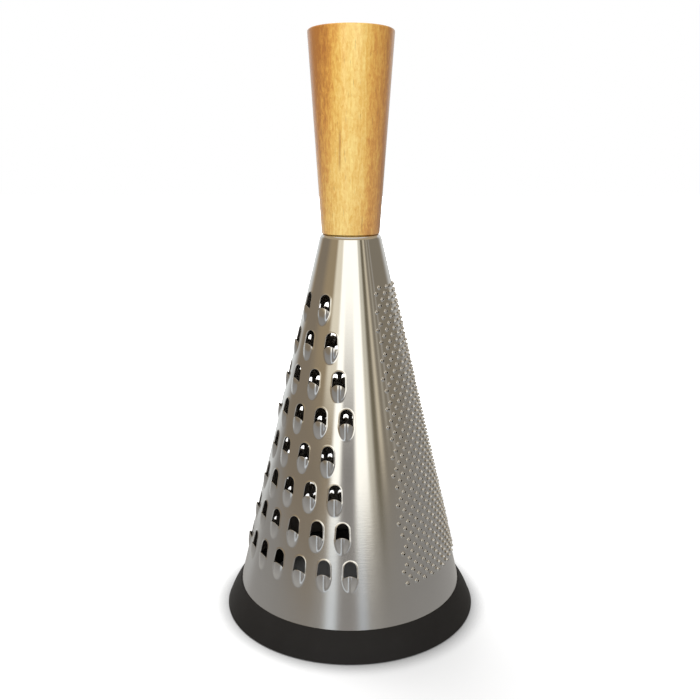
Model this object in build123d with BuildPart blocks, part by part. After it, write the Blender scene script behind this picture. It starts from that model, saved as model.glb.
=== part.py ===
"""Conical grater: a pressed steel cone with a wooden handle on its top and a rubber ring round its foot.

The origin is at the middle of the ring's underside, where the grater stands, with +Z up through the handle.
Angles round the cone are counted from -Y, towards +X. Lengths are in millimetres, angles in degrees.
"""
import os
from math import atan, ceil, cos, degrees, floor, radians, sin

from build123d import *

# Sizes that several pieces share
sheet = 0.6                     # the steel's thickness
grip_clearance = 0.05           # rubber to steel, each side
thread_clearance = 0.05         # screw to insert, on the radius
wood_clearance = 0.05           # insert to wood
cut_overrun = 1.0               # how far a cutting tool passes the face that it cuts

# Cone
cone_height = 181.1             # from its foot edge to its flat top
cone_foot_radius = 57.08
cone_top_radius = 14.1          # where the wall's line meets the flat top's plane
shoulder_radius = 2.5

# Coarse teeth
coarse_row_counts = (7, 6, 5, 4, 5, 4, 3, 2)
coarse_first_row = 30.9         # from the cone's foot edge to the lowest row's hole corners
coarse_row_pitch = 16.625
coarse_pitch = 11.8             # round the wall, within a row, at the holes' round ends
coarse_angle = -36.2            # the generator that the columns run along
coarse_sideways = -5.0          # the pattern's middle, beside that generator
coarse_hole_width = 5.7         # across the round end
coarse_hole_height = 7.75       # from the corners to the round end
coarse_hole_flare = 0.35        # how much wider each side is at the corners
coarse_lip_bow = 1.5            # the cutting edge's rise between the corners
coarse_scoop_radius = 3.9       # across the scoop
coarse_scoop_rise = 1.4         # the cutting edge above the wall
coarse_scoop_length = 8.0       # from the cutting edge to the scoop's point

# Medium teeth, on the side away from the photographed one
medium_angle = 196.0
medium_sideways = -0.9
medium_zone = 84.0              # how far round the cone they reach
medium_row_count = 17
medium_first_row = 22.0         # from the cone's foot edge to the lowest row's hole corners
medium_row_pitch = 8.04
medium_pitch = 4.95             # round the wall, within a row
medium_hole_width = 2.8
medium_hole_height = 3.4

# Fine burrs, beside the coarse teeth
fine_angle = 87.24              # the generator that the columns run along
fine_sideways = 2.5
fine_middle = 76.5
fine_zone = 94.0                # how far round the cone they reach
fine_row_count = 50
fine_first_row = 25.4           # from the cone's foot edge to the middle of the lowest burrs
fine_row_pitch = 2.7
fine_pitch = 5.245              # round the wall, within a row
fine_burr_radius = 1.5          # across its foot, from the middle to a corner
fine_burr_rise = 1.2
fine_burr_sides = 3

# Base ring
ring_height = 12.4
ring_foot_overhang = 5.25       # at its underside, outwards from the cone's foot edge
ring_foot_inreach = 6.58        # at its underside, inwards from the cone's foot edge
ring_floor = 4.0                # rubber under the cone's foot edge
ring_inner_height = 9.0
ring_lip_land = 0.5             # flat top beside the wall
ring_inner_land = 1.2
ring_bulge = 0.6                # of the outer flank, beyond a straight one
ring_edge_chamfer = 0.4

# Handle
handle_length = 89.7
handle_foot_setback = 0.55      # from where the wall's line meets the flat top's plane
handle_top_radius = 19.6
handle_foot_chamfer = 0.5
handle_top_round = 1.0

# Threaded insert in the handle's foot
insert_length = 16.0
insert_radius = 3.9
insert_barb = 0.4               # how far each barb stands out
insert_barb_count = 4
insert_flange_radius = 5.6
insert_flange_thickness = 0.8

# Screw and washers
screw_radius = 2.5
screw_length = 25.0             # under the head
screw_tip_chamfer = 0.6
screw_hole_clearance = 0.25     # screw to steel top and flat washer, on the radius
screw_pilot_room = 5.0          # hole in the wood beyond the screw's tip
head_radius = 4.75
head_height = 3.3
head_chamfer = 1.2
recess_length = 5.4
recess_width = 1.0
recess_depth = 1.9
flat_washer_radius = 9.0
flat_washer_thickness = 1.2
lock_washer_radius = 4.5
lock_washer_thickness = 1.2
lock_washer_clearance = 0.1     # screw to washer, on the radius
lock_washer_slit = 0.6
lock_washer_slit_angle = 20.0

# Places that follow from the sizes
cone_foot = ring_floor
cone_top = cone_foot + cone_height
slope = (cone_foot_radius - cone_top_radius) / cone_height
half_angle = atan(slope)
wall_across = sheet / cos(half_angle)    # the wall's thickness, measured level
ring_foot_radius = cone_foot_radius + ring_foot_overhang
ring_inner_radius = cone_foot_radius - ring_foot_inreach
handle_foot = cone_top
handle_foot_radius = cone_top_radius - handle_foot_setback
flat_washer_top = cone_top - sheet
lock_washer_top = flat_washer_top - flat_washer_thickness
head_top = lock_washer_top - lock_washer_thickness
screw_tip = head_top + screw_length


def wall_radius(z):
    """Outer radius of the cone's wall at a height."""
    return cone_foot_radius - slope * (z - cone_foot)


def wall_plane(angle, z):
    """Plane on the wall: its X runs round the cone, its Y up the wall, and its Z outwards."""
    turn = radians(angle)
    radius = wall_radius(z)
    outward = (sin(turn) * cos(half_angle), -cos(turn) * cos(half_angle), sin(half_angle))
    return Plane(
        origin=(radius * sin(turn), -radius * cos(turn), z),
        x_dir=(cos(turn), sin(turn), 0),
        z_dir=outward,
    )


def pressed_ramp(radius, rise, length, lip_height, inset, overrun):
    """Round bar that stands out of the wall by the rise at the lip, and dives into it along the length.

    The inset makes the same bar smaller all round, for the sheet's inner side.
    """
    tilt = atan(rise / length)
    dive = Plane(
        origin=(0, lip_height - length, 0),
        x_dir=(1, 0, 0),
        z_dir=(0, cos(tilt), sin(tilt)),
    )
    with BuildPart() as bar:
        with BuildSketch(dive.offset(-length / 2)):
            with Locations((0, radius)):
                Circle(radius - inset)
        extrude(amount=length / 2 + length / cos(tilt) + overrun)
    return bar.part


def rows_on_wall(first, pitch, count, height):
    """Heights of a column's rows, as many of them as end under the shoulder."""
    rows = [cone_foot + first + row * pitch for row in range(count)]
    return [z for z in rows if z + height < cone_top - shoulder_radius]


def staggered_places(line_angle, sideways, middle, zone, rows, pitch):
    """Places in a zone of the wall, in columns along a generator, with every other row half a pitch over."""
    places = []
    for row, row_z in enumerate(rows):
        radius = wall_radius(row_z)
        zone_middle = radians(middle - line_angle) * radius
        reach = radians(zone / 2) * radius
        start = sideways + row % 2 * pitch / 2
        first_column = ceil((zone_middle - reach - start) / pitch)
        last_column = floor((zone_middle + reach - start) / pitch)
        for column in range(first_column, last_column + 1):
            angle = line_angle + degrees((start + column * pitch) / radius)
            places.append(wall_plane(angle, row_z).location)
    return places


# Places of the teeth on the wall
coarse_rows = rows_on_wall(coarse_first_row, coarse_row_pitch, len(coarse_row_counts), coarse_hole_height)
coarse_places = []
for row_z, count in zip(coarse_rows, coarse_row_counts):
    for column in range(count):
        sideways = coarse_sideways + (column - (count - 1) / 2) * coarse_pitch
        angle = coarse_angle + degrees(sideways / wall_radius(row_z + coarse_hole_height * cos(half_angle)))
        coarse_places.append(wall_plane(angle, row_z).location)

medium_rows = rows_on_wall(medium_first_row, medium_row_pitch, medium_row_count, medium_hole_height)
medium_places = staggered_places(
    medium_angle, medium_sideways, medium_angle, medium_zone, medium_rows, medium_pitch
)

fine_rows = rows_on_wall(fine_first_row, fine_row_pitch, fine_row_count, fine_burr_radius)
fine_places = staggered_places(fine_angle, fine_sideways, fine_middle, fine_zone, fine_rows, fine_pitch)

# Coarse tooth: the hole's punch, with its cutting edge bowed up between the corners
hole_half = coarse_hole_width / 2
corner_half = hole_half + coarse_hole_flare
hole_shoulder = coarse_hole_height - hole_half
with BuildPart() as coarse_punch:
    with BuildSketch(Plane.XY.offset(-coarse_hole_width)):
        with BuildLine():
            ThreePointArc((-corner_half, 0), (0, coarse_lip_bow), (corner_half, 0))
            Line((corner_half, 0), (hole_half, hole_shoulder))
            ThreePointArc((hole_half, hole_shoulder), (0, coarse_hole_height), (-hole_half, hole_shoulder))
            Line((-hole_half, hole_shoulder), (-corner_half, 0))
        make_face()
    extrude(amount=2 * coarse_hole_width)

coarse_scoop_outside = pressed_ramp(
    coarse_scoop_radius, coarse_scoop_rise, coarse_scoop_length, coarse_lip_bow, 0, sheet / 2
)
coarse_scoop_inside = pressed_ramp(
    coarse_scoop_radius, coarse_scoop_rise, coarse_scoop_length, coarse_lip_bow, sheet, sheet
)


# Medium tooth: the punch for its hole
with BuildPart() as medium_punch:
    with BuildSketch(Plane.XY.offset(-medium_hole_width)):
        with Locations((0, medium_hole_height / 2)):
            Rectangle(medium_hole_width, medium_hole_height)
    extrude(amount=2 * medium_hole_width)

# Fine burr: a point with flat sides, from the middle of the sheet outwards
burr_root = sheet / 2
with BuildPart() as fine_burr:
    with BuildSketch(Plane.XY.offset(-burr_root)) as burr_foot:
        RegularPolygon(fine_burr_radius * (1 + burr_root / fine_burr_rise), fine_burr_sides, rotation=90)
    loft(sections=[burr_foot.sketch.face(), Vertex(0, 0, fine_burr_rise)])

# Cone: the sheet's outer side with the teeth pressed out of it
with BuildPart() as outer_form:
    with BuildSketch(Plane.XZ):
        with BuildLine():
            Polyline(
                (0, cone_foot),
                (cone_foot_radius, cone_foot),
                (cone_top_radius, cone_top),
                (0, cone_top),
                close=True,
            )
        make_face()
    revolve(axis=Axis.Z)
    fillet(outer_form.edges().group_by(Axis.Z)[-1], shoulder_radius)
    with Locations(*coarse_places):
        add(coarse_scoop_outside)

# Cone: the sheet's inner side
inner_top = cone_top - sheet
inner_foot = cone_foot - cut_overrun
with BuildPart() as inner_form:
    with BuildSketch(Plane.XZ):
        with BuildLine():
            Polyline(
                (0, inner_foot),
                (wall_radius(inner_foot) - wall_across, inner_foot),
                (wall_radius(inner_top) - wall_across, inner_top),
                (0, inner_top),
                close=True,
            )
        make_face()
    revolve(axis=Axis.Z)
    fillet(inner_form.edges().group_by(Axis.Z)[-1], shoulder_radius - sheet)
    with Locations(*coarse_places):
        add(coarse_scoop_inside)

with BuildPart() as grater_cone:
    add(outer_form.part)
    add(inner_form.part, mode=Mode.SUBTRACT)
    with Locations((0, 0, cone_top)):
        Hole(screw_radius + screw_hole_clearance, depth=sheet + cut_overrun)
    with Locations(*coarse_places):
        add(coarse_punch.part, mode=Mode.SUBTRACT)
    with Locations(*medium_places):
        add(medium_punch.part, mode=Mode.SUBTRACT)
    with Locations(*fine_places):
        add(fine_burr.part, clean=False)

# Base ring: a rubber ring with a groove that the cone's foot edge stands in
grip_outside = grip_clearance / cos(half_angle)
grip_inside = wall_across + grip_clearance / cos(half_angle)
lip_outer = wall_radius(ring_height) + grip_outside + ring_lip_land
inner_lip_outer = wall_radius(ring_inner_height) - grip_inside
flank_middle_radius = (lip_outer + ring_foot_radius) / 2
flank_angle = atan((ring_foot_radius - lip_outer) / ring_height)
with BuildPart() as base_ring:
    with BuildSketch(Plane.XZ) as ring_section:
        with BuildLine():
            Line((ring_inner_radius, 0), (ring_foot_radius, 0))
            ThreePointArc(
                (ring_foot_radius, 0),
                (
                    flank_middle_radius + ring_bulge * cos(flank_angle),
                    ring_height / 2 + ring_bulge * sin(flank_angle),
                ),
                (lip_outer, ring_height),
            )
            Polyline(
                (lip_outer, ring_height),
                (wall_radius(ring_height) + grip_outside, ring_height),
                (wall_radius(ring_floor) + grip_outside, ring_floor),
                (wall_radius(ring_floor) - grip_inside, ring_floor),
                (inner_lip_outer, ring_inner_height),
                (inner_lip_outer - ring_inner_land, ring_inner_height),
                (ring_inner_radius, 0),
            )
        make_face()
        chamfer(ring_section.vertices().sort_by(Axis.X)[-1], ring_edge_chamfer)
    revolve(axis=Axis.Z)

# Threaded insert: a flange, and barbs that hold in the wood
barb_height = (insert_length - insert_flange_thickness) / insert_barb_count
with BuildPart() as threaded_insert:
    with BuildSketch(Plane.XZ):
        with BuildLine():
            barb_points = []
            for barb in range(insert_barb_count):
                barb_foot = handle_foot + insert_flange_thickness + barb * barb_height
                barb_points.append((insert_radius + insert_barb, barb_foot))
                barb_points.append((insert_radius, barb_foot + barb_height))
            Polyline(
                (screw_radius + thread_clearance, handle_foot + insert_length),
                (screw_radius + thread_clearance, handle_foot),
                (insert_flange_radius, handle_foot),
                (insert_flange_radius, handle_foot + insert_flange_thickness),
                *barb_points,
                close=True,
            )
        make_face()
    revolve(axis=Axis.Z)

# Handle: turned wood with a stepped hole for the insert and the screw's tip
with BuildPart() as handle:
    with BuildSketch(Plane.XZ):
        with BuildLine():
            Polyline(
                (0, handle_foot),
                (handle_foot_radius, handle_foot),
                (handle_top_radius, handle_foot + handle_length),
                (0, handle_foot + handle_length),
                close=True,
            )
        make_face()
    revolve(axis=Axis.Z)
    fillet(handle.edges().group_by(Axis.Z)[-1], handle_top_round)
    chamfer(handle.edges().group_by(Axis.Z)[0], handle_foot_chamfer)
    with BuildSketch(Plane.XY.offset(handle_foot)):
        Circle(insert_flange_radius + wood_clearance)
    extrude(amount=insert_flange_thickness + wood_clearance, mode=Mode.SUBTRACT)
    with BuildSketch(Plane.XY.offset(handle_foot)):
        Circle(insert_radius + insert_barb + wood_clearance)
    extrude(amount=insert_length + wood_clearance, mode=Mode.SUBTRACT)
    with BuildSketch(Plane.XY.offset(handle_foot)):
        Circle(screw_radius + screw_hole_clearance)
    extrude(amount=screw_tip - handle_foot + screw_pilot_room, mode=Mode.SUBTRACT)

# Screw, from inside the cone up into the insert, with a cross recess in its head
with BuildPart() as handle_screw:
    with BuildSketch(Plane.XY.offset(head_top - head_height)):
        Circle(head_radius)
    extrude(amount=head_height)
    chamfer(handle_screw.edges().group_by(Axis.Z)[0], head_chamfer)
    with BuildSketch(Plane.XY.offset(head_top)):
        Circle(screw_radius)
    extrude(amount=screw_length)
    chamfer(handle_screw.edges().group_by(Axis.Z)[-1], screw_tip_chamfer)
    with BuildSketch(Plane.XY.offset(head_top - head_height)):
        Rectangle(recess_length, recess_width)
        Rectangle(recess_width, recess_length)
    extrude(amount=recess_depth, mode=Mode.SUBTRACT)

# Flat washer
with BuildPart() as flat_washer:
    with BuildSketch(Plane.XY.offset(flat_washer_top - flat_washer_thickness)):
        Circle(flat_washer_radius)
        Circle(screw_radius + screw_hole_clearance, mode=Mode.SUBTRACT)
    extrude(amount=flat_washer_thickness)

# Lock washer, split by a slanting slit
slit_height = lock_washer_thickness / cos(radians(lock_washer_slit_angle)) + 2 * cut_overrun
with BuildPart() as lock_washer:
    with BuildSketch(Plane.XY.offset(lock_washer_top - lock_washer_thickness)):
        Circle(lock_washer_radius)
        Circle(screw_radius + lock_washer_clearance, mode=Mode.SUBTRACT)
    extrude(amount=lock_washer_thickness)
    slit_middle = (lock_washer_radius, 0, lock_washer_top - lock_washer_thickness / 2)
    with Locations(Location(slit_middle, (lock_washer_slit_angle, 0, 0))):
        Box(2 * screw_radius, lock_washer_slit, slit_height, mode=Mode.SUBTRACT)

os.makedirs("parts", exist_ok=True)
pieces = {
    "grater_cone": grater_cone,
    "base_ring": base_ring,
    "handle": handle,
    "threaded_insert": threaded_insert,
    "handle_screw": handle_screw,
    "flat_washer": flat_washer,
    "lock_washer": lock_washer,
}
for name, piece in pieces.items():
    piece.part.label = name
    export_step(piece.part, f"parts/{name}.step")
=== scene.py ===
"""Conical grater: pierced steel cone, turned wooden handle and rubber foot ring.

Angles round the cone are counted from -Y, towards +X. Lengths are in metres.
"""

from math import atan, ceil, cos, degrees, pi, radians, sin

import bpy
import numpy as np
from mathutils import Matrix, Vector
from mathutils.geometry import delaunay_2d_cdt


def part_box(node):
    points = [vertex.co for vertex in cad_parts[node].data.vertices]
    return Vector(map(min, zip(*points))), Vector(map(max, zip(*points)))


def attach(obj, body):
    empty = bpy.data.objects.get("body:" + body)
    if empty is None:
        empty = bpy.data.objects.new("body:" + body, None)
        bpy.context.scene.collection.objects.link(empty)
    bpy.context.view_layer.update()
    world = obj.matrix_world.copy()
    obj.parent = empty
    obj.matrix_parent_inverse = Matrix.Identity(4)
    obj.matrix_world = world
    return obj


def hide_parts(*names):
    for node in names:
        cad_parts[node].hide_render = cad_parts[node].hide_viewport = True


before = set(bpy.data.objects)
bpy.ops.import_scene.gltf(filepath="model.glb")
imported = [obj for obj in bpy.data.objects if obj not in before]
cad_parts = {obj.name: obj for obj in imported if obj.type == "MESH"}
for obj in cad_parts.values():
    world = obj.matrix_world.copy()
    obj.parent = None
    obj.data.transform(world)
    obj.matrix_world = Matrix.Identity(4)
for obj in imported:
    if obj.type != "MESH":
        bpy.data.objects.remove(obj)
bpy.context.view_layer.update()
mm = 0.001

# Cone
cone_low, cone_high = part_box("grater_cone")
cone_foot, cone_top = cone_low.z, cone_high.z
cone_foot_radius = cone_high.x
cone_top_radius = 14.1 * mm
shoulder_radius = 2.5 * mm
sheet = 0.6 * mm
screw_hole_radius = 2.75 * mm
slope = (cone_foot_radius - cone_top_radius) / (cone_top - cone_foot)
half_angle = atan(slope)
apex = cone_foot + cone_foot_radius / slope

# The sheet is laid out flat round this middle, and its two sides meet behind it
middle_angle = -42.0

# How finely the plain sheet is divided, and how far its points keep from a tooth
facets_round = 128
wall_row_pitch = 4 * mm
tooth_margin = 0.7 * mm
shoulder_steps = 8
top_ring_radius = 6 * mm

# Edges that turn further than this look sharp, on the sheet and on turned pieces
sheet_crease, turned_crease = radians(50), radians(35)


def wall_radius(z):
    """Outer radius of the cone's wall at a height."""
    return cone_foot_radius - slope * (z - cone_foot)


# Centre of the shoulder's round, and where the straight wall ends under it
shoulder_z = cone_top - shoulder_radius
shoulder_centre = wall_radius(shoulder_z) - shoulder_radius / cos(half_angle)
wall_end = shoulder_z + shoulder_radius * sin(half_angle)


def flat_point(turn, z):
    """A point of the wall on the flat sheet, from how far the sheet is turned there and its height."""
    reach = wall_radius(z) / sin(half_angle)
    return reach * sin(turn), -reach * cos(turn)


def flat_place(angle, z):
    """Where a point of the wall lies on the flat sheet, and how far the sheet is turned there."""
    turn = radians((angle - middle_angle + 180) % 360 - 180) * sin(half_angle)
    return *flat_point(turn, z), turn


def roll_up(flat, height):
    """Points of the flat sheet rolled into the cone, lifted off its wall by a height."""
    reach = np.hypot(flat[:, 0], flat[:, 1])
    angle = radians(middle_angle) + np.arctan2(flat[:, 0], -flat[:, 1]) / sin(half_angle)
    level = np.stack([np.sin(angle), -np.cos(angle)], 1)
    outward = np.column_stack([level * cos(half_angle), np.full(len(flat), sin(half_angle))])
    radius = reach * sin(half_angle)
    on_wall = np.column_stack([level * radius[:, None], apex - reach * cos(half_angle)])
    return on_wall + outward * height[:, None], outward


class Stamp:
    """A small pressed form, to be set into the flat sheet.

    points are x across, y up the wall and the height of the outer side; drop is how far the inner side lies
    below each of them; outline and rim are the loops where it meets the sheet and its hole.
    """

    def __init__(self, points, drop, faces, outline, rim):
        self.points, self.drop, self.faces = points, drop, faces
        self.outline, self.rim = outline, rim


def soft_step(x):
    """From 0 to 1, level at both ends."""
    x = np.clip(x, 0, 1)
    return x * x * (3 - 2 * x)


def soft_floor(height, steepness, blend):
    """The height where it is above the wall, with a fillet that reaches a blend's width to both sides."""
    away = height / steepness
    fillet = np.where(away < -blend, 0, (away + blend) ** 2 / (4 * blend))
    return np.where(away > blend, height, fillet * steepness)


def grid_faces(rows):
    """Quads between neighbouring rows of point numbers."""
    return [
        (lower[i], lower[i + 1], upper[i + 1], upper[i])
        for lower, upper in zip(rows, rows[1:])
        for i in range(len(lower) - 1)
    ]


def without_doubles(faces):
    """Faces with each point once, without those that have shrunk to a line."""
    faces = [tuple(dict.fromkeys(face)) for face in faces]
    return [face for face in faces if len(face) > 2]


# A row of points close under the cutting edge keeps it crisp: its place as a share of a row
edge_step = 0.2
# A scoop follows its round bar up to this share of the bar's radius, short of its upright side
bar_share = 0.97


def tooth_stamp(width, flare, height, bow, scoop_radius, rise, swell, length, rim, lip, blend, counts, skirt):
    """Round-topped hole over a pointed scoop that rises to the hole's bowed lower edge, the cutting edge.

    The hole is width across and height tall above the edge's two corners, where it widens by flare on each
    side; bow is how far the edge's middle lies above them. The scoop is pressed over a round bar of
    scoop_radius, from nothing at its tip to rise at the edge, length away; swell is how far its line bulges
    on the way. rim is how high the sheet stands round the arch, lip the edge's thickness, and blend the
    fillet between scoop and wall. counts are the steps round the scoop's outline, round the hole's arch and
    down the scoop; skirt lists distances from the outline at which the form is drawn out to the flat sheet.
    """
    round_scoop, round_arch, down_scoop = counts
    half, corner = width / 2, width / 2 + flare
    shoulder = height - half
    tip = length - bow

    def rise_at(y):
        t = (y + tip) / length
        return rise * (t + swell * t * (1 - t))

    def half_width(y):
        return np.sqrt(np.maximum(scoop_radius**2 - (scoop_radius - np.maximum(rise_at(y), 0)) ** 2, 0))

    stretch = corner / float(half_width(np.array(0.0)))

    def scoop(x, y):
        across = np.minimum(np.abs(x) / stretch, bar_share * scoop_radius)
        crown = np.sqrt(scoop_radius**2 - across**2)
        steepness = np.hypot(across / (crown * stretch), rise / length)
        return soft_floor(rise_at(y) + crown - scoop_radius, steepness, blend)

    # Outline: round the scoop from corner to corner, then over the arch and back
    share = np.linspace(-1, 1, round_scoop + 1)
    scoop_y = -tip * np.cos(share * pi / 2)
    scoop_x = np.sign(share) * half_width(scoop_y) * stretch
    side_steps = max(2, round_arch // 5)
    up = np.linspace(0, 1, side_steps + 1)[1:]
    arch = np.linspace(0, pi, round_arch - 2 * side_steps + 1)[1:-1]
    right_x, right_y = corner + (half - corner) * up, shoulder * up
    arch_x = np.concatenate([right_x, half * np.cos(arch), -right_x[::-1]])
    arch_y = np.concatenate([right_y, shoulder + half * np.sin(arch), right_y[::-1]])
    line = np.stack([np.concatenate([scoop_x, arch_x]), np.concatenate([scoop_y, arch_y])], 1)
    along = np.roll(line, -1, 0) - np.roll(line, 1, 0)
    outwards = np.stack([along[:, 1], -along[:, 0]], 1) / np.hypot(along[:, 0], along[:, 1])[:, None]
    is_scoop = np.arange(len(line)) <= round_scoop

    places, heights = [], []

    def put(x, y, h):
        start = sum(len(p) for p in places)
        places.append(np.stack([x, y], 1))
        heights.append(h)
        return list(range(start, start + len(x)))

    skirt_rows = []
    for distance in skirt:
        ring = line + outwards * distance
        raised = rim * (1 - distance / skirt[-1]) ** 2 * soft_step(ring[:, 1] / half)
        h = np.where(is_scoop, scoop(ring[:, 0], ring[:, 1]), raised)
        skirt_rows.append(put(ring[:, 0], ring[:, 1], h * (distance < skirt[-1])))
    for row in skirt_rows:
        row.append(row[0])

    # The scoop itself, in rows from the cutting edge down to its outline
    inner = slice(1, -1)
    lip_x, lip_y = share * corner, bow * (1 - share**2)
    scoop_rows = []
    for step in (0, edge_step, *range(1, down_scoop)):
        t = step / down_scoop
        x, y = lip_x + (scoop_x - lip_x) * t, lip_y + (scoop_y - lip_y) * t
        numbers = put(x[inner], y[inner], scoop(x[inner], y[inner]))
        scoop_rows.append([skirt_rows[0][0]] + numbers + [skirt_rows[0][round_scoop]])
    scoop_rows.append(skirt_rows[0][: round_scoop + 1])

    faces = grid_faces(skirt_rows[::-1]) + without_doubles(grid_faces(scoop_rows[::-1]))
    points = np.column_stack([np.concatenate(places), np.concatenate(heights)])
    hole = scoop_rows[0] + skirt_rows[0][round_scoop + 1 : -1]
    drop = np.full(len(points), sheet)
    drop[scoop_rows[0]] = lip
    return Stamp(points, drop, faces, skirt_rows[-1][:-1], hole)


def burr_stamp(radii, heights, drops, sides, jag, lobes):
    """Pierced nub: rings from its foot to a torn mouth, with the mouth's edge in lobes."""
    angles = np.arange(sides) / sides * 2 * pi
    torn = np.cos(angles * lobes)
    points, drop, rows = [], [], []
    for number, (radius, height, inner) in enumerate(zip(radii, heights, drops)):
        lift = jag * torn * (number / (len(radii) - 1)) ** 3
        points.append(np.stack([radius * np.cos(angles), radius * np.sin(angles), height + lift], 1))
        drop.append(np.full(sides, inner))
        rows.append([number * sides + i for i in range(sides)] + [number * sides])
    return Stamp(np.concatenate(points), np.concatenate(drop), grid_faces(rows), rows[0][:-1], rows[-1][:-1])


# Coarse teeth
coarse_hole_height = 7.75 * mm
coarse_tooth = tooth_stamp(
    width=5.7 * mm,
    flare=0.35 * mm,
    height=coarse_hole_height,
    bow=1.5 * mm,
    scoop_radius=3.9 * mm,
    rise=1.4 * mm,
    swell=0.9,
    length=8.0 * mm,
    rim=0.16 * mm,
    lip=0.12 * mm,
    blend=0.7 * mm,
    counts=(20, 24, 8),
    skirt=[d * mm for d in (0, 0.12, 0.26, 0.42, 0.62, 0.9)],
)
coarse_row_counts = (7, 6, 5, 4, 5, 4, 3, 2)
coarse_first_row = 30.9 * mm
coarse_row_pitch = 16.625 * mm
coarse_pitch = 11.8 * mm
coarse_angle = -36.2
coarse_sideways = -5.0 * mm

# Medium teeth, on the side away from the photographed one
medium_tooth = tooth_stamp(
    width=2.5 * mm,
    flare=0.15 * mm,
    height=3.1 * mm,
    bow=0.5 * mm,
    scoop_radius=1.65 * mm,
    rise=0.85 * mm,
    swell=0.7,
    length=4.1 * mm,
    rim=0.06 * mm,
    lip=0.12 * mm,
    blend=0.25 * mm,
    counts=(10, 12, 4),
    skirt=[d * mm for d in (0, 0.12, 0.35)],
)
medium_angle = 196.0
medium_sideways = -0.9 * mm
medium_zone = 84.0
medium_row_count = 17
medium_first_row = 22.0 * mm
medium_row_pitch = 8.04 * mm
medium_pitch = 4.95 * mm

# Fine burrs, each turned at random and a little taller or lower than the next
fine_burr = burr_stamp(
    radii=[r * mm for r in (1.2, 0.93, 0.75, 0.64, 0.57, 0.46)],
    heights=[h * mm for h in (0, 0.12, 0.5, 0.9, 1.12, 1.18)],
    drops=[d * mm for d in (0.6, 0.55, 0.5, 0.45, 0.35, 0.25)],
    sides=12,
    jag=0.1 * mm,
    lobes=4,
)
fine_angle = 87.24
fine_sideways = 2.5 * mm
fine_middle = 76.5
fine_zone = 94.0
fine_row_count = 50
fine_first_row = 25.4 * mm
fine_row_pitch = 2.7 * mm
fine_pitch = 5.245 * mm
fine_spread = 0.1
fine_seed = 7


def zone_places(line_angle, sideways, middle, zone, first, row_pitch, count, pitch):
    """Places of a staggered pattern whose columns run along a generator of the cone, inside a zone."""
    places = []
    for row in range(count):
        z = cone_foot + first + row * row_pitch
        radius = wall_radius(z)
        start = sideways + row % 2 * pitch / 2
        offset = radians(middle - line_angle) * radius
        reach = radians(zone / 2) * radius
        first_column = ceil((offset - reach - start) / pitch)
        last_column = int(np.floor((offset + reach - start) / pitch))
        for column in range(first_column, last_column + 1):
            places.append((line_angle + degrees((start + column * pitch) / radius), z))
    return places


def coarse_places():
    """Places of the coarse teeth, each midway between its hole's two lower corners."""
    places = []
    for row, count in enumerate(coarse_row_counts):
        z = cone_foot + coarse_first_row + row * coarse_row_pitch
        radius = wall_radius(z + coarse_hole_height * cos(half_angle))
        for column in range(count):
            across = coarse_sideways + (column - (count - 1) / 2) * coarse_pitch
            places.append((coarse_angle + degrees(across / radius), z))
    return places


class Sheet:
    """The cone's outer and inner side, gathered as points, faces and the normals that are known.

    outlines are the teeth's outlines, as flat points and as point numbers; spaces are the rectangles that the
    teeth take on the flat sheet; rims and foot are the loops along which the two sides are joined.
    """

    def __init__(self):
        self.outer, self.inner, self.normals, self.faces = [], [], [], []
        self.outlines, self.spaces, self.rims, self.foot = [], [], [], []
        self.count = 0

    def add(self, outer, inner, normals):
        """Adds points to both sides, and gives the number of the first."""
        first = self.count
        self.outer.append(outer)
        self.inner.append(inner)
        self.normals.append(normals)
        self.count += len(outer)
        return first


def press_teeth(metal):
    """Sets every tooth and burr into the sheet."""
    rng = np.random.default_rng(fine_seed)
    medium_places = zone_places(
        medium_angle, medium_sideways, medium_angle, medium_zone,
        medium_first_row, medium_row_pitch, medium_row_count, medium_pitch,
    )
    fine_places = zone_places(
        fine_angle, fine_sideways, fine_middle, fine_zone,
        fine_first_row, fine_row_pitch, fine_row_count, fine_pitch,
    )
    for stamp, places, spin, spread in (
        (coarse_tooth, coarse_places(), 0, 0),
        (medium_tooth, medium_places, 0, 0),
        (fine_burr, fine_places, pi, fine_spread),
    ):
        low, high = stamp.points.min(0), stamp.points.max(0)
        for angle, z in places:
            x0, y0, turn = flat_place(angle, z)
            spun = spin * rng.uniform(-1, 1)
            taller = 1 + spread * rng.uniform(-1, 1)
            x, y = stamp.points[:, 0], stamp.points[:, 1]
            x, y = x * cos(spun) - y * sin(spun), x * sin(spun) + y * cos(spun)
            flat = np.stack([x0 + x * cos(turn) - y * sin(turn), y0 + x * sin(turn) + y * cos(turn)], 1)
            height = stamp.points[:, 2] * taller
            outer, outward = roll_up(flat, height)
            inner, _ = roll_up(flat, height - stamp.drop)
            known = np.zeros((len(flat), 3))
            known[stamp.outline] = outward[stamp.outline]
            first = metal.add(outer, inner, known)
            metal.faces += [tuple(first + i for i in face) for face in stamp.faces]
            metal.outlines.append((flat[stamp.outline], [first + i for i in stamp.outline]))
            metal.rims.append([first + i for i in stamp.rim])
            metal.spaces.append((x0, y0, turn, low, high))


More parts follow.
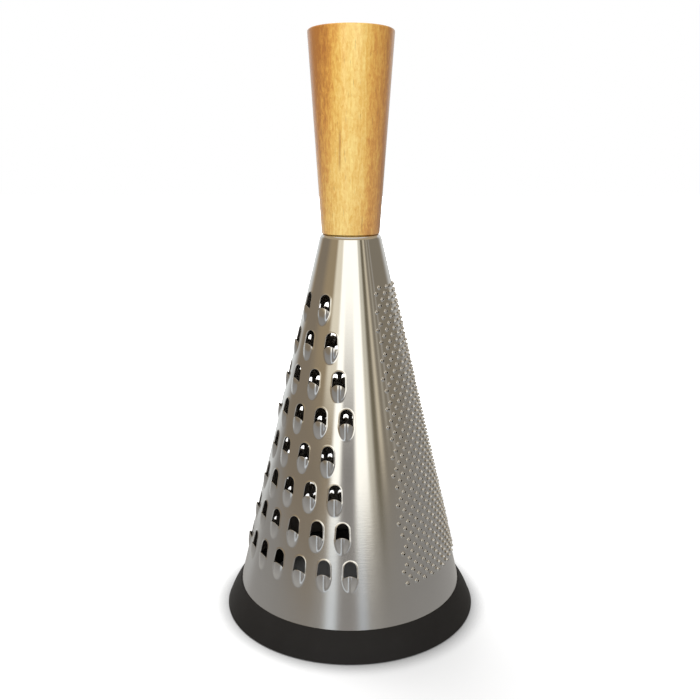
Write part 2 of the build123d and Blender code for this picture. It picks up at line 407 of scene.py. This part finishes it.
def plain_points(spaces, heights):
    """Points of the plain wall between the teeth, with the row and the kind of each.

    The kind is left or right on the sheet's two sides, edge in its first and last row, and free elsewhere.
    """
    points, rows, kinds = [], [], []
    for row, z in enumerate(heights):
        is_edge = row in (0, len(heights) - 1)
        for column in range(facets_round + 1):
            kind = {0: "left", facets_round: "right"}.get(column, "edge" if is_edge else "free")
            shift = 0.5 if kind == "free" and row % 2 else 0
            # A shifted row's last point would lie too close to the side
            if column == facets_round - 1 and shift:
                continue
            turn = radians((column + shift) * 360 / facets_round - 180) * sin(half_angle)
            points.append(flat_point(turn, z))
            rows.append(row)
            kinds.append(kind)
    points = np.array(points)
    clear = np.ones(len(points), bool)
    for x0, y0, turn, low, high in spaces:
        dx, dy = points[:, 0] - x0, points[:, 1] - y0
        x, y = dx * cos(turn) + dy * sin(turn), -dx * sin(turn) + dy * cos(turn)
        in_width = (x > low[0] - tooth_margin) & (x < high[0] + tooth_margin)
        in_height = (y > low[1] - tooth_margin) & (y < high[1] + tooth_margin)
        clear &= ~(in_width & in_height)
    clear |= np.array([kind != "free" for kind in kinds])
    kept = np.flatnonzero(clear)
    return points[kept], [rows[i] for i in kept], [kinds[i] for i in kept]


def fill_wall(metal):
    """Fills the wall between the teeth with triangles, and gives the loop of points at its top."""
    row_count = round((wall_end - cone_foot) / wall_row_pitch) + 1
    points, rows, kinds = plain_points(metal.spaces, np.linspace(cone_foot, wall_end, row_count))

    # The two sides are one line of the cone, so the right side takes the left side's point numbers
    outer, outward = roll_up(points, np.zeros(len(points)))
    inner, _ = roll_up(points, np.full(len(points), -sheet))
    kept = [i for i, kind in enumerate(kinds) if kind != "right"]
    first = metal.add(outer[kept], inner[kept], outward[kept])
    place = {i: first + k for k, i in enumerate(kept)}
    metal.foot = [place[i] for i in kept if rows[i] == 0]
    top_loop = [place[i] for i in kept if rows[i] == row_count - 1]
    left_of_row = {rows[i]: place[i] for i in kept if kinds[i] == "left"}
    for i, kind in enumerate(kinds):
        if kind == "right":
            place[i] = left_of_row[rows[i]]

    # Edges that the triangles have to keep: the teeth's outlines, which stay empty, and the two sides
    flats, numbers, edges, holes = [], [], [], []
    for outline_points, outline_numbers in metal.outlines:
        start, size = len(numbers), len(outline_numbers)
        flats.extend(outline_points)
        numbers += outline_numbers
        edges += [(start + i, start + (i + 1) % size) for i in range(size)]
        holes.append(list(range(start, start + size)))
    start = len(numbers)
    flats.extend(points)
    numbers += [place[i] for i in range(len(kinds))]
    for wanted in ("left", "right"):
        side = [start + i for i, kind in enumerate(kinds) if kind == wanted]
        edges += list(zip(side, side[1:]))

    # Worked out in millimetres. A triangle nearer the fan's middle than the last row spans open space
    per_metre = 1 / mm
    closest, least_double_area = 1e-5, 1e-3
    flats = [Vector((x * per_metre, y * per_metre)) for x, y in flats]
    found = delaunay_2d_cdt(flats, edges, holes, 0, closest)
    corners, _, triangles, corner_origins, _, face_origins = found
    back = [numbers[origins[0]] if origins else -1 for origins in corner_origins]
    nearest = wall_radius(wall_end) / sin(half_angle) * per_metre
    for triangle, in_holes in zip(triangles, face_origins):
        a, b, c = [corners[i] for i in triangle]
        is_flat = abs((b - a).cross(c - a)) < least_double_area
        if in_holes or is_flat or ((a + b + c) / 3).length < nearest:
            continue
        metal.faces.append(tuple(back[i] for i in triangle))
    return top_loop


def roll_top(metal, loop):
    """Rounded shoulder from the wall's top loop, then the flat top as far as the screw's hole."""
    angles = np.radians([middle_angle - 180 + i * 360 / facets_round for i in range(facets_round)])
    sines, cosines = np.sin(angles), np.cos(angles)

    def ring_points(radius, z):
        return np.stack([radius * sines, -radius * cosines, np.full(facets_round, z)], 1)

    rings = []
    for tilt in np.linspace(half_angle, pi / 2, shoulder_steps + 1)[1:]:
        outer_side, inner_side = [
            (shoulder_centre + radius * cos(tilt), shoulder_z + radius * sin(tilt))
            for radius in (shoulder_radius, shoulder_radius - sheet)
        ]
        rings.append((outer_side, inner_side, tilt))
    for radius in (top_ring_radius, screw_hole_radius):
        rings.append(((radius, cone_top), (radius, cone_top - sheet), pi / 2))
    for outer_side, inner_side, tilt in rings:
        outward = ring_points(cos(tilt), sin(tilt))
        first = metal.add(ring_points(*outer_side), ring_points(*inner_side), outward)
        ring = [first + i for i in range(facets_round)]
        for i in range(facets_round):
            j = (i + 1) % facets_round
            metal.faces.append((loop[i], loop[j], ring[j], ring[i]))
        loop = ring
    metal.rims.append(loop)


def build_cone():
    """The pierced sheet as one closed mesh."""
    metal = Sheet()
    press_teeth(metal)
    roll_top(metal, fill_wall(metal))
    outer, inner = np.concatenate(metal.outer), np.concatenate(metal.inner)
    normals = np.concatenate(metal.normals)
    count = len(outer)
    faces = metal.faces + [tuple(count + i for i in reversed(face)) for face in metal.faces]
    for loop in metal.rims:
        for i, j in zip(loop, loop[1:] + loop[:1]):
            faces.append((i, j, count + j, count + i))
    for i, j in zip(metal.foot, metal.foot[1:] + metal.foot[:1]):
        faces.append((j, i, count + i, count + j))
    mesh = bpy.data.meshes.new("pierced_cone")
    mesh.from_pydata(np.concatenate([outer, inner]).tolist(), [], faces)
    mesh.validate()
    mesh.update()
    mesh.shade_smooth()
    mesh.set_sharp_from_angle(angle=sheet_crease)
    mesh.normals_split_custom_set_from_vertices(np.concatenate([normals, -normals]).tolist())
    return mesh


def add_piece(name, mesh, material, node):
    """A piece of the grater that stands for a node of the frame."""
    piece = bpy.data.objects.new(name, mesh)
    bpy.context.scene.collection.objects.link(piece)
    mesh.materials.append(material)
    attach(piece, "root")
    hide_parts(node)


def turned(name, profile, sides):
    """A profile of radius and height, turned round Z. It starts and ends on the axis, or it is a loop."""
    angles = np.arange(sides) / sides * 2 * pi
    sines, cosines = np.sin(angles), np.cos(angles)
    points, rows = [], []
    for radius, z in profile:
        first = len(points)
        if radius == 0:
            points.append((0, 0, z))
            rows.append([first] * (sides + 1))
        else:
            points += [(radius * s, -radius * c, z) for s, c in zip(sines, cosines)]
            rows.append([first + i for i in range(sides)] + [first])
    if profile[0][0] > 0:
        rows.append(rows[0])
    mesh = bpy.data.meshes.new(name)
    mesh.from_pydata(points, [], without_doubles(grid_faces(rows)))
    mesh.update()
    mesh.shade_smooth()
    mesh.set_sharp_from_angle(angle=turned_crease)
    return mesh


def arc(centre, radius, start, end, steps):
    """Points of an arc in a profile, angles in degrees from the outward direction up."""
    return [
        (centre[0] + radius * cos(radians(a)), centre[1] + radius * sin(radians(a)))
        for a in np.linspace(start, end, steps + 1)
    ]


class Value:
    """A number or colour that changes over a surface. Arithmetic on it adds Math nodes."""

    def __init__(self, finish, socket):
        self.finish, self.socket = finish, socket

    def __add__(self, other):
        return self.finish.math("ADD", self, other)

    def __radd__(self, other):
        return self.finish.math("ADD", other, self)

    def __sub__(self, other):
        return self.finish.math("SUBTRACT", self, other)

    def __rsub__(self, other):
        return self.finish.math("SUBTRACT", other, self)

    def __mul__(self, other):
        return self.finish.math("MULTIPLY", self, other)

    def __rmul__(self, other):
        return self.finish.math("MULTIPLY", other, self)

    def __truediv__(self, other):
        return self.finish.math("DIVIDE", self, other)

    def __pow__(self, other):
        return self.finish.math("POWER", self, other)


class Finish:
    """A node tree, written from its nodes' outputs back to its surface."""

    def __init__(self, tree):
        self.tree = tree
        tree.nodes.clear()

    def node(self, kind, settings=None, sockets=None, output=0):
        """Adds a node with its settings and its sockets' values or links, and gives one of its outputs."""
        made = self.tree.nodes.new(kind)
        for name, value in (settings or {}).items():
            if name == "stops":
                ramp = made.color_ramp
                while len(ramp.elements) < len(value):
                    ramp.elements.new(0.5)
                for element, (position, colour) in zip(ramp.elements, value):
                    element.position = position
                    element.color = (*colour, 1)
            else:
                setattr(made, name, value)
        for name, value in (sockets or {}).items():
            socket = made.inputs[name]
            if isinstance(value, Value):
                self.tree.links.new(value.socket, socket)
            elif isinstance(value, tuple) and len(value) == 3 and socket.type == "RGBA":
                socket.default_value = (*value, 1)
            else:
                socket.default_value = value
        return Value(self, made.outputs[output]) if made.outputs else None

    def math(self, operation, *values):
        """One step of arithmetic."""
        return self.node("ShaderNodeMath", {"operation": operation}, dict(enumerate(values)))

    def size(self, value):
        """The value without its sign."""
        return self.math("ABSOLUTE", value)

    def between(self, value, low, high):
        """0 where the value is at low, 1 where it is at high, held at both ends."""
        return self.node(
            "ShaderNodeMapRange", {"interpolation_type": "SMOOTHSTEP"}, {0: value, 1: low, 2: high}
        )

    def mix(self, factor, first, second):
        """A colour between two."""
        return self.node("ShaderNodeMix", {"data_type": "RGBA"}, {0: factor, 6: first, 7: second}, 2)

    def axes(self, place):
        """The three parts of a place or direction."""
        return [self.node("ShaderNodeSeparateXYZ", {}, {0: place}, axis) for axis in range(3)]

    def stretched(self, place, scale):
        """A place with each of its axes scaled."""
        return self.node("ShaderNodeVectorMath", {"operation": "MULTIPLY"}, {0: place, 1: scale})

    def noise(self, place, scale, detail, roughness, distortion=0.0):
        """Noise from 0 to 1."""
        look = {"Scale": scale, "Detail": detail, "Roughness": roughness, "Distortion": distortion}
        return self.node("ShaderNodeTexNoise", {}, {"Vector": place, **look})

    def bump(self, height, strength, distance):
        """A fine relief."""
        sockets = {"Strength": strength, "Distance": distance, "Height": height}
        return self.node("ShaderNodeBump", {}, sockets)

    def close(self, kind, sockets):
        """The surface that everything leads to."""
        self.node("ShaderNodeOutputMaterial", {}, {"Surface": self.node(kind, {}, sockets)})


def new_material(name):
    """A material, its node tree and the place on the piece."""
    material = bpy.data.materials.new(name)
    material.use_nodes = True
    finish = Finish(material.node_tree)
    return material, finish, finish.node("ShaderNodeTexCoord", output="Object")


def steel_finish():
    """Stainless steel: polished under the handle, satin towards the foot, duller on its inner side, whose
    colour is darkened to a brown grey as painted shade.
    """
    material, f, place = new_material("cone_steel")
    polished_from, satin_to = 130 * mm, 20 * mm
    satin = f.between(f.axes(place)[2], polished_from, satin_to)
    facing = f.node("ShaderNodeNewGeometry", output="Normal")
    from_axis = f.stretched(place, (1.0, 1.0, 0.0))
    dot_product = {"operation": "DOT_PRODUCT"}
    outwards = f.node("ShaderNodeVectorMath", dot_product, {0: facing, 1: from_axis}, "Value")
    inner = f.between(outwards, 2 * mm, -2 * mm)
    streaks = f.noise(f.stretched(place, (1.0, 1.0, 0.04)), 900.0, 3.0, 0.6)
    clouds = f.noise(place, 60.0, 3.0, 0.55)
    brushed = f.noise(f.stretched(place, (0.15, 0.15, 1.0)), 1600.0, 2.0, 0.6)
    tone = f.mix(clouds, (0.60, 0.595, 0.585), (0.66, 0.655, 0.645))
    # Painted shade: the cone's inner side gets a darker brown-grey colour that stands in for the shade inside
    # the cone
    tone = f.mix(inner, tone, (0.40, 0.37, 0.33))
    roughness = 0.06 + 0.08 * satin + 0.04 * streaks * (0.3 + satin) + 0.03 * clouds + 0.35 * inner
    relief = f.bump(brushed * (0.25 + satin) + 0.5 * clouds, 0.04, 0.2 * mm)
    f.close(
        "ShaderNodeBsdfPrincipled",
        {"Base Color": tone, "Metallic": 1.0, "Roughness": roughness, "Normal": relief},
    )
    return material


def wood_finish():
    """Oiled golden hardwood with long grain, mottled markings and fine pores, and a painted highlight along
    its front.
    """
    material, f, place = new_material("handle_wood")
    x, y, z = f.axes(place)
    long_grain = f.stretched(place, (1.0, 1.0, 0.05))
    warp = f.noise(f.stretched(place, (1.0, 1.0, 0.18)), 55.0, 3.0, 0.5)
    band = f.math("SINE", (x * 0.85 + y * 0.5 + 0.012 * warp) * 660.0)
    fibre = f.noise(long_grain, 900.0, 4.0, 0.65)
    broad = f.noise(long_grain, 170.0, 3.0, 0.55)
    pores = f.between(f.noise(f.stretched(place, (1.0, 1.0, 0.035)), 1500.0, 2.0, 0.5), 0.66, 0.72)
    mottle = f.noise(f.stretched(place, (1.0, 1.0, 0.4)), 800.0, 4.0, 0.75, 0.6)
    # Darker blotches from noise, plus painted shade that grows towards +X, the side away from the window lamp
    blotches_and_side_shade = f.between(f.noise(f.stretched(place, (1.0, 1.0, 0.1)), 38.0, 1.0, 0.5) + 12.0 * x, 0.3, 0.75)
    # Painted highlight: a pale band down the handle's front, leaning with height, lightens the wood's colour
    # where the window's sheen falls
    highlight_x, highlight_z, highlight_lean, half_width = -2.2 * mm, 195 * mm, 0.06, 10 * mm
    painted_highlight = 1 - f.size((x - highlight_x - highlight_lean * (z - highlight_z)) / half_width)
    # The wood's grain and mottling, with the painted highlight added
    grain_and_highlight = (
        0.36 + 0.05 * band + 0.7 * (fibre - 0.5) + 1.1 * (mottle - 0.5) + 0.3 * (broad - 0.5) + 0.48 * painted_highlight
    )
    stops = [
        (0.0, (0.42, 0.150, 0.016)),
        (0.3, (0.63, 0.285, 0.038)),
        (0.55, (0.76, 0.445, 0.082)),
        (1.0, (0.91, 0.700, 0.230)),
    ]
    honey = f.node("ShaderNodeValToRGB", {"stops": stops}, {0: grain_and_highlight})

    # A short dark line of grain on the front
    line_x, line_z, line_waver = -4.9 * mm, 223 * mm, 2.2 * mm
    aside = f.size(x - line_x + line_waver * (warp - 0.5))
    along = f.size(z - line_z)
    line = f.between(aside, 0.8 * mm, 0.1 * mm) * f.between(along, 11 * mm, 5 * mm)
    line = line * f.between(y, 0.0, -4 * mm)
    # Painted shade on the +X side, and the random blotches, darken the wood
    honey = f.mix(blotches_and_side_shade * 0.2, honey, (0.52, 0.22, 0.04))
    honey = f.mix(0.55 * line * (0.4 + fibre), honey, (0.30, 0.11, 0.015))
    f.close(
        "ShaderNodeBsdfPrincipled",
        {
            "Base Color": f.mix(pores * 0.5, honey, (0.22, 0.08, 0.015)),
            "Roughness": 0.42 + 0.15 * fibre,
            "Normal": f.bump(fibre - 0.8 * pores, 0.25, 0.2 * mm),
            "Coat Weight": 0.7 + 0.3 * broad,
            "Coat Roughness": 0.24,
            "Coat IOR": 1.8,
            "Specular IOR Level": 0.5,
        },
    )
    return material


def rubber_finish():
    """Matt black rubber with the faint bloom that moulded rubber has."""
    material, f, place = new_material("ring_rubber")
    bloom = f.noise(place, 90.0, 4.0, 0.6)
    grain = f.noise(place, 2600.0, 2.0, 0.5)
    f.close(
        "ShaderNodeBsdfPrincipled",
        {
            "Base Color": f.mix(bloom, (0.009, 0.0085, 0.0085), (0.018, 0.017, 0.0165)),
            "Roughness": 0.55 + 0.2 * bloom,
            "Normal": f.bump(grain, 0.2, 0.1 * mm),
            "Specular IOR Level": 0.22,
        },
    )
    return material


def metal_finish(name, dark, light, smooth):
    """Machined metal with fine turning marks."""
    material, f, place = new_material(name)
    marks = f.noise(f.stretched(place, (0.2, 0.2, 1.0)), 3000.0, 2.0, 0.6)
    f.close(
        "ShaderNodeBsdfPrincipled",
        {"Base Color": f.mix(marks, dark, light), "Metallic": 1.0, "Roughness": smooth + 0.12 * marks},
    )
    return material


steel = steel_finish()
wood = wood_finish()
rubber = rubber_finish()
brass = metal_finish("insert_brass", (0.62, 0.44, 0.17), (0.74, 0.56, 0.26), 0.3)
zinc = metal_finish("fastener_steel", (0.52, 0.53, 0.55), (0.66, 0.67, 0.69), 0.28)

add_piece("pierced_cone", build_cone(), steel, "grater_cone")

# Handle, with a stepped hole for the insert, its flange and the screw's tip
handle_low, handle_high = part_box("handle")
handle_foot, handle_top = handle_low.z, handle_high.z
handle_foot_radius, handle_top_radius = 13.55 * mm, 19.6 * mm
insert_hole_radius, insert_hole_top = 4.35 * mm, handle_foot + 16.05 * mm
flange_hole_radius, flange_hole_top = 5.65 * mm, handle_foot + 0.85 * mm
tip_hole_radius, tip_hole_top = 2.75 * mm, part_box("handle_screw")[1].z + 5 * mm
foot_chamfer = 0.5 * mm
top_round, top_round_steps = 1.0 * mm, 8
handle_sides = 160
taper = atan((handle_top_radius - handle_foot_radius) / (handle_top - handle_foot))
round_centre = (handle_top_radius - top_round * (1 + sin(taper)) / cos(taper), handle_top - top_round)
handle_profile = [
    (0, tip_hole_top),
    (tip_hole_radius, tip_hole_top),
    (tip_hole_radius, insert_hole_top),
    (insert_hole_radius, insert_hole_top),
    (insert_hole_radius, flange_hole_top),
    (flange_hole_radius, flange_hole_top),
    (flange_hole_radius, handle_foot),
    (handle_foot_radius - foot_chamfer, handle_foot),
    (handle_foot_radius - 0.2 * foot_chamfer, handle_foot + 0.4 * foot_chamfer),
    (handle_foot_radius + foot_chamfer * sin(taper), handle_foot + foot_chamfer),
    *arc(round_centre, top_round, -degrees(taper), 90, top_round_steps),
    (0, handle_top),
]
handle_mesh = turned("turned_handle", handle_profile, handle_sides)
add_piece("turned_handle", handle_mesh, wood, "handle")

# Base ring
_, ring_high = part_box("base_ring")
ring_height, ring_inner_height = ring_high.z, 9 * mm
ring_foot_radius, ring_inner_radius = ring_high.x - 0.1 * mm, 50.5 * mm
ring_lip_width, ring_inner_lip_width = 0.5 * mm, 1.2 * mm
ring_bulge = 0.6 * mm
ring_edge_round = 0.5 * mm
ring_flank_steps = 14
ring_sides = 192
# Across the wall on the level: the room on each side of the sheet in the groove, and the sheet
grip = 0.05 * mm / cos(half_angle)
wall_across = sheet / cos(half_angle)


def ring_profile():
    """Section of the rubber ring, with the groove that the cone's foot stands in."""
    outer_lip = wall_radius(ring_height) + grip
    inner_lip = wall_radius(ring_inner_height) - wall_across - grip
    foot, lip = Vector((ring_foot_radius, 0)), Vector((outer_lip + ring_lip_width, ring_height))
    flank = (lip - foot).normalized()
    out = Vector((flank.y, -flank.x))
    edge = [
        foot + Vector((across * ring_edge_round, up * ring_edge_round))
        for across, up in ((-1, 0), (-0.15, 0.2), (0.1, 0.6))
    ]
    shares = [i / ring_flank_steps for i in range(1, ring_flank_steps + 1)]
    bulged = [foot + (lip - foot) * t + out * ring_bulge * 4 * t * (1 - t) for t in shares]
    groove = [
        (outer_lip, ring_height),
        (wall_radius(cone_foot) + grip, cone_foot),
        (wall_radius(cone_foot) - wall_across - grip, cone_foot),
        (inner_lip, ring_inner_height),
        (inner_lip - ring_inner_lip_width, ring_inner_height),
        (ring_inner_radius, 0),
    ]
    return [(p.x, p.y) for p in edge + bulged] + groove


ring_mesh = turned("foot_ring", ring_profile(), ring_sides)
add_piece("foot_ring", ring_mesh, rubber, "base_ring")

# Insert, screw and washers keep the frame's own shapes
for node_name, material in (
    ("threaded_insert", brass),
    ("handle_screw", zinc),
    ("flat_washer", zinc),
    ("lock_washer", zinc),
):
    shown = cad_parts[node_name]
    shown.data.materials.clear()
    shown.data.materials.append(material)


def floor_finish():
    """Pale floor that the camera sees as white, but for shadow: the lamps' own, and shade painted into its
    colour round the ring and under the cone.
    """
    material, f, place = new_material("floor_white")
    across = f.node("ShaderNodeVectorMath", {"operation": "LENGTH"}, {0: place}, "Value")
    outside = f.between(across, 0.9 * ring_high.x, 0.95 * ring_high.x)
    seen = f.node("ShaderNodeLightPath", output="Is Camera Ray")
    gloss = f.node("ShaderNodeLightPath", output="Is Glossy Ray")
    below = f.node("ShaderNodeNewGeometry", output="Backfacing")
    open_sky = f.node("ShaderNodeAmbientOcclusion", {"samples": 8}, {"Distance": 10 * mm}, "AO") ** 3
    far = f.between(across, 100 * mm, 450 * mm)
    # Painted shade: ambient occlusion darkens the floor's colour and its glow round the ring, and under the
    # cone the floor is dark
    tone = f.mix(outside * open_sky, (0.2, 0.2, 0.2), (0.75, 0.75, 0.75))
    plain = f.node("ShaderNodeBsdfDiffuse", {}, {"Color": tone})
    glow = f.node("ShaderNodeEmission", {}, {"Color": (1.0, 1.0, 1.0), "Strength": 2.6})
    clear = f.node("ShaderNodeBsdfTransparent", {}, {"Color": (1.0, 1.0, 1.0)})
    glowing = seen * outside * open_sky * (0.12 + 0.88 * far)
    lit = f.node("ShaderNodeMixShader", {}, {0: glowing, 1: plain, 2: glow})
    f.close("ShaderNodeMixShader", {0: gloss * outside + below, 1: lit, 2: clear})
    return material


# Floor, a hair below the ring
floor_reach, floor_height = 6.0, -0.2 * mm
floor_mesh = bpy.data.meshes.new("floor")
floor_mesh.from_pydata(
    [(x * floor_reach, y * floor_reach, floor_height) for x, y in ((-1, -1), (1, -1), (1, 1), (-1, 1))],
    [],
    [(0, 1, 2, 3)],
)
floor = bpy.data.objects.new("floor", floor_mesh)
bpy.context.scene.collection.objects.link(floor)
floor_mesh.materials.append(floor_finish())

# Tones of the room that the steel mirrors: the elevations between which each fades in, its colour
low_tones = (
    (5, -7, (0.345, 0.33, 0.31)),
    (-8, -22, (0.42, 0.405, 0.385)),
    (-18, -34, (0.52, 0.505, 0.475)),
)
high_tones = (
    (24, 28, (0.56, 0.45, 0.30)),
    (50, 64, (0.90, 0.88, 0.84)),
)
# Panels in that room: where each starts and ends round the grater, how soft its sides are, the
# elevations between which it fades in, its colour
panels = (
    (-400, -134, 16, (-24, -12), (0.88, 0.90, 0.89)),
    (134, 400, 16, (-9, 3), (0.88, 0.88, 0.86)),
    (-122, -38, 7, (-8.5, -3.5), (0.305, 0.250, 0.185)),
    (-80, -38, 12, (2, 12), (0.450, 0.350, 0.220)),
    (-46, -24, 5, (5, 12), (1.08, 0.98, 0.78)),
    (-24, -12, 3, (-80, -70), (0.84, 0.89, 0.93)),
    (8, 17, 3, (-16, -8), (0.55, 0.59, 0.64)),
    (-26, 27, 3, (-3, 5), (1.75, 1.70, 1.55)),
    (25, 34, 3, (-3, 6), (0.85, 0.80, 0.66)),
    (-13, 7, 3, (20, 5), (0.32, 0.30, 0.28)),
    (36, 42, 2, (-4, 2), (0.21, 0.18, 0.12)),
    (44, 50, 3, (0, 6), (0.84, 0.74, 0.56)),
    (57, 61, 2, (2, 6), (0.52, 0.47, 0.38)),
    (67, 70, 2, (-3, 1), (0.50, 0.46, 0.40)),
)


def studio_world():
    """White to the camera, a plain soft light, and for gloss a warm room with a window behind the camera."""
    world = bpy.data.worlds.new("studio")
    world.use_nodes = True
    w = Finish(world.node_tree)
    east, north, up = w.axes(w.node("ShaderNodeTexCoord", output="Generated"))
    azimuth = w.math("ARCTAN2", east, 0 - north) * (180 / pi)
    elevation = w.math("ARCSINE", up) * (180 / pi)
    room = w.mix(w.between(azimuth, -60, 60), (0.39, 0.30, 0.19), (0.30, 0.26, 0.20))
    for hidden, full, colour in low_tones:
        room = w.mix(w.between(elevation, hidden, full), room, colour)
    for start, end, soft_side, (hidden, full), colour in panels:
        after = w.between(azimuth, start - soft_side, start + soft_side)
        before = w.between(azimuth, end + soft_side, end - soft_side)
        room = w.mix(after * before * w.between(elevation, hidden, full), room, colour)
    for hidden, full, colour in high_tones:
        room = w.mix(w.between(elevation, hidden, full), room, colour)
    camera_sees = w.node("ShaderNodeLightPath", output="Is Camera Ray")
    gloss_sees = w.node("ShaderNodeLightPath", output="Is Glossy Ray")
    white, soft, mirrored = [
        w.node("ShaderNodeBackground", {}, {"Color": colour, "Strength": strength})
        for colour, strength in (((1.0, 1.0, 1.0), 1.0), ((1.0, 1.0, 1.0), 0.45), (room, 1.0))
    ]
    lit = w.node("ShaderNodeMixShader", {}, {0: gloss_sees, 1: soft, 2: mirrored})
    all_round = w.node("ShaderNodeMixShader", {}, {0: camera_sees, 1: lit, 2: white})
    w.node("ShaderNodeOutputWorld", {}, {"Surface": all_round})
    return world


bpy.context.scene.world = studio_world()

# Lights
lamp_aim = Vector((0, 0, 130 * mm))


def window_light(name, place, size, power):
    """A soft panel that faces the grater."""
    data = bpy.data.lights.new(name, "AREA")
    data.shape = "RECTANGLE"
    data.size, data.size_y = size
    data.energy = power
    lamp = bpy.data.objects.new(name, data)
    bpy.context.scene.collection.objects.link(lamp)
    lamp.location = place
    lamp.rotation_mode = "QUATERNION"
    lamp.rotation_quaternion = (lamp_aim - Vector(place)).to_track_quat("-Z", "Y")
    lamp.visible_glossy = False
    lamp.visible_camera = False


window_light("window", (-0.15, -1.2, 0.85), (0.8, 0.9), 12.5)
window_light("overhead", (-0.25, 0.45, 1.1), (0.5, 0.5), 10.0)

# Camera
image_width, focal_pixels = 700, 802.6
tilt_down, roll_over = radians(12.768), radians(0.117)
tilt = Matrix.Rotation(pi / 2 - tilt_down, 3, "X")
camera_data = bpy.data.cameras.new("camera")
camera_data.sensor_width = 36.0
camera_data.lens = focal_pixels / image_width * camera_data.sensor_width
camera_data.clip_start, camera_data.clip_end = 0.01, 100.0
camera = bpy.data.objects.new("camera", camera_data)
bpy.context.scene.collection.objects.link(camera)
camera.location = (-0.0002, -0.3786, 0.21498)
camera.rotation_euler = (tilt @ Matrix.Rotation(roll_over, 3, "Z")).to_euler()
bpy.context.scene.camera = camera

bpy.context.scene.view_settings.view_transform = "Standard"

bpy.context.view_layer.update()
